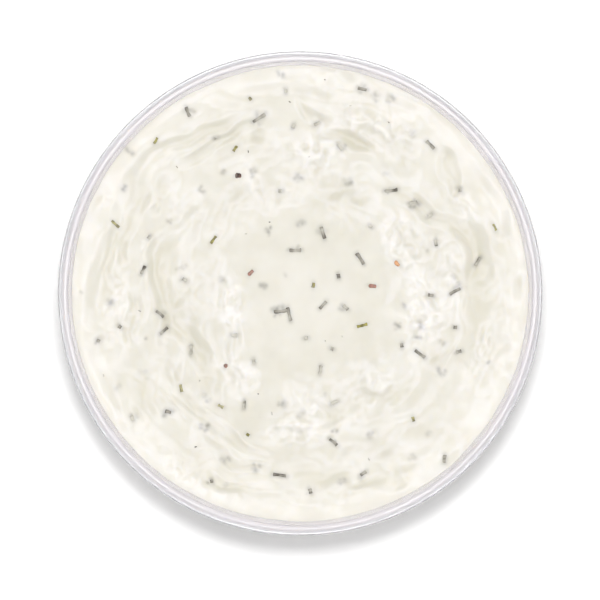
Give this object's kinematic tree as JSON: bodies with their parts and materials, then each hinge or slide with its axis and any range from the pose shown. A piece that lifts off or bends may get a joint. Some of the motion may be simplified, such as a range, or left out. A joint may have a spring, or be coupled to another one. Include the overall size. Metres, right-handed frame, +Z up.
{
  "type": "tzatziki dip in a clear tub",
  "caption": "Round clear plastic deli tub filled with tzatziki: a creamy white dip swirled with a spoon, with slivers of dill and vegetable.",
  "frame": {"origin": "middle of the underside, on the surface that the tub stands on", "axes": "+Z up, out of the open top; X and Y lie along the surface, and the pictured view from above has +Y at its top"},
  "size_m": [0.117, 0.117, 0.046],
  "materials": {
    "clear_plastic": "clear, slightly milky, thin moulded plastic with a soft gloss",
    "cream": "wet, satin, slightly translucent yogurt cream",
    "dill": "damp chopped herb",
    "vegetable": "damp chopped vegetable and spice"
  },
  "bodies": {
    "root": {"tub": "clear_plastic", "dip": "cream"}
  },
  "joints": []
}
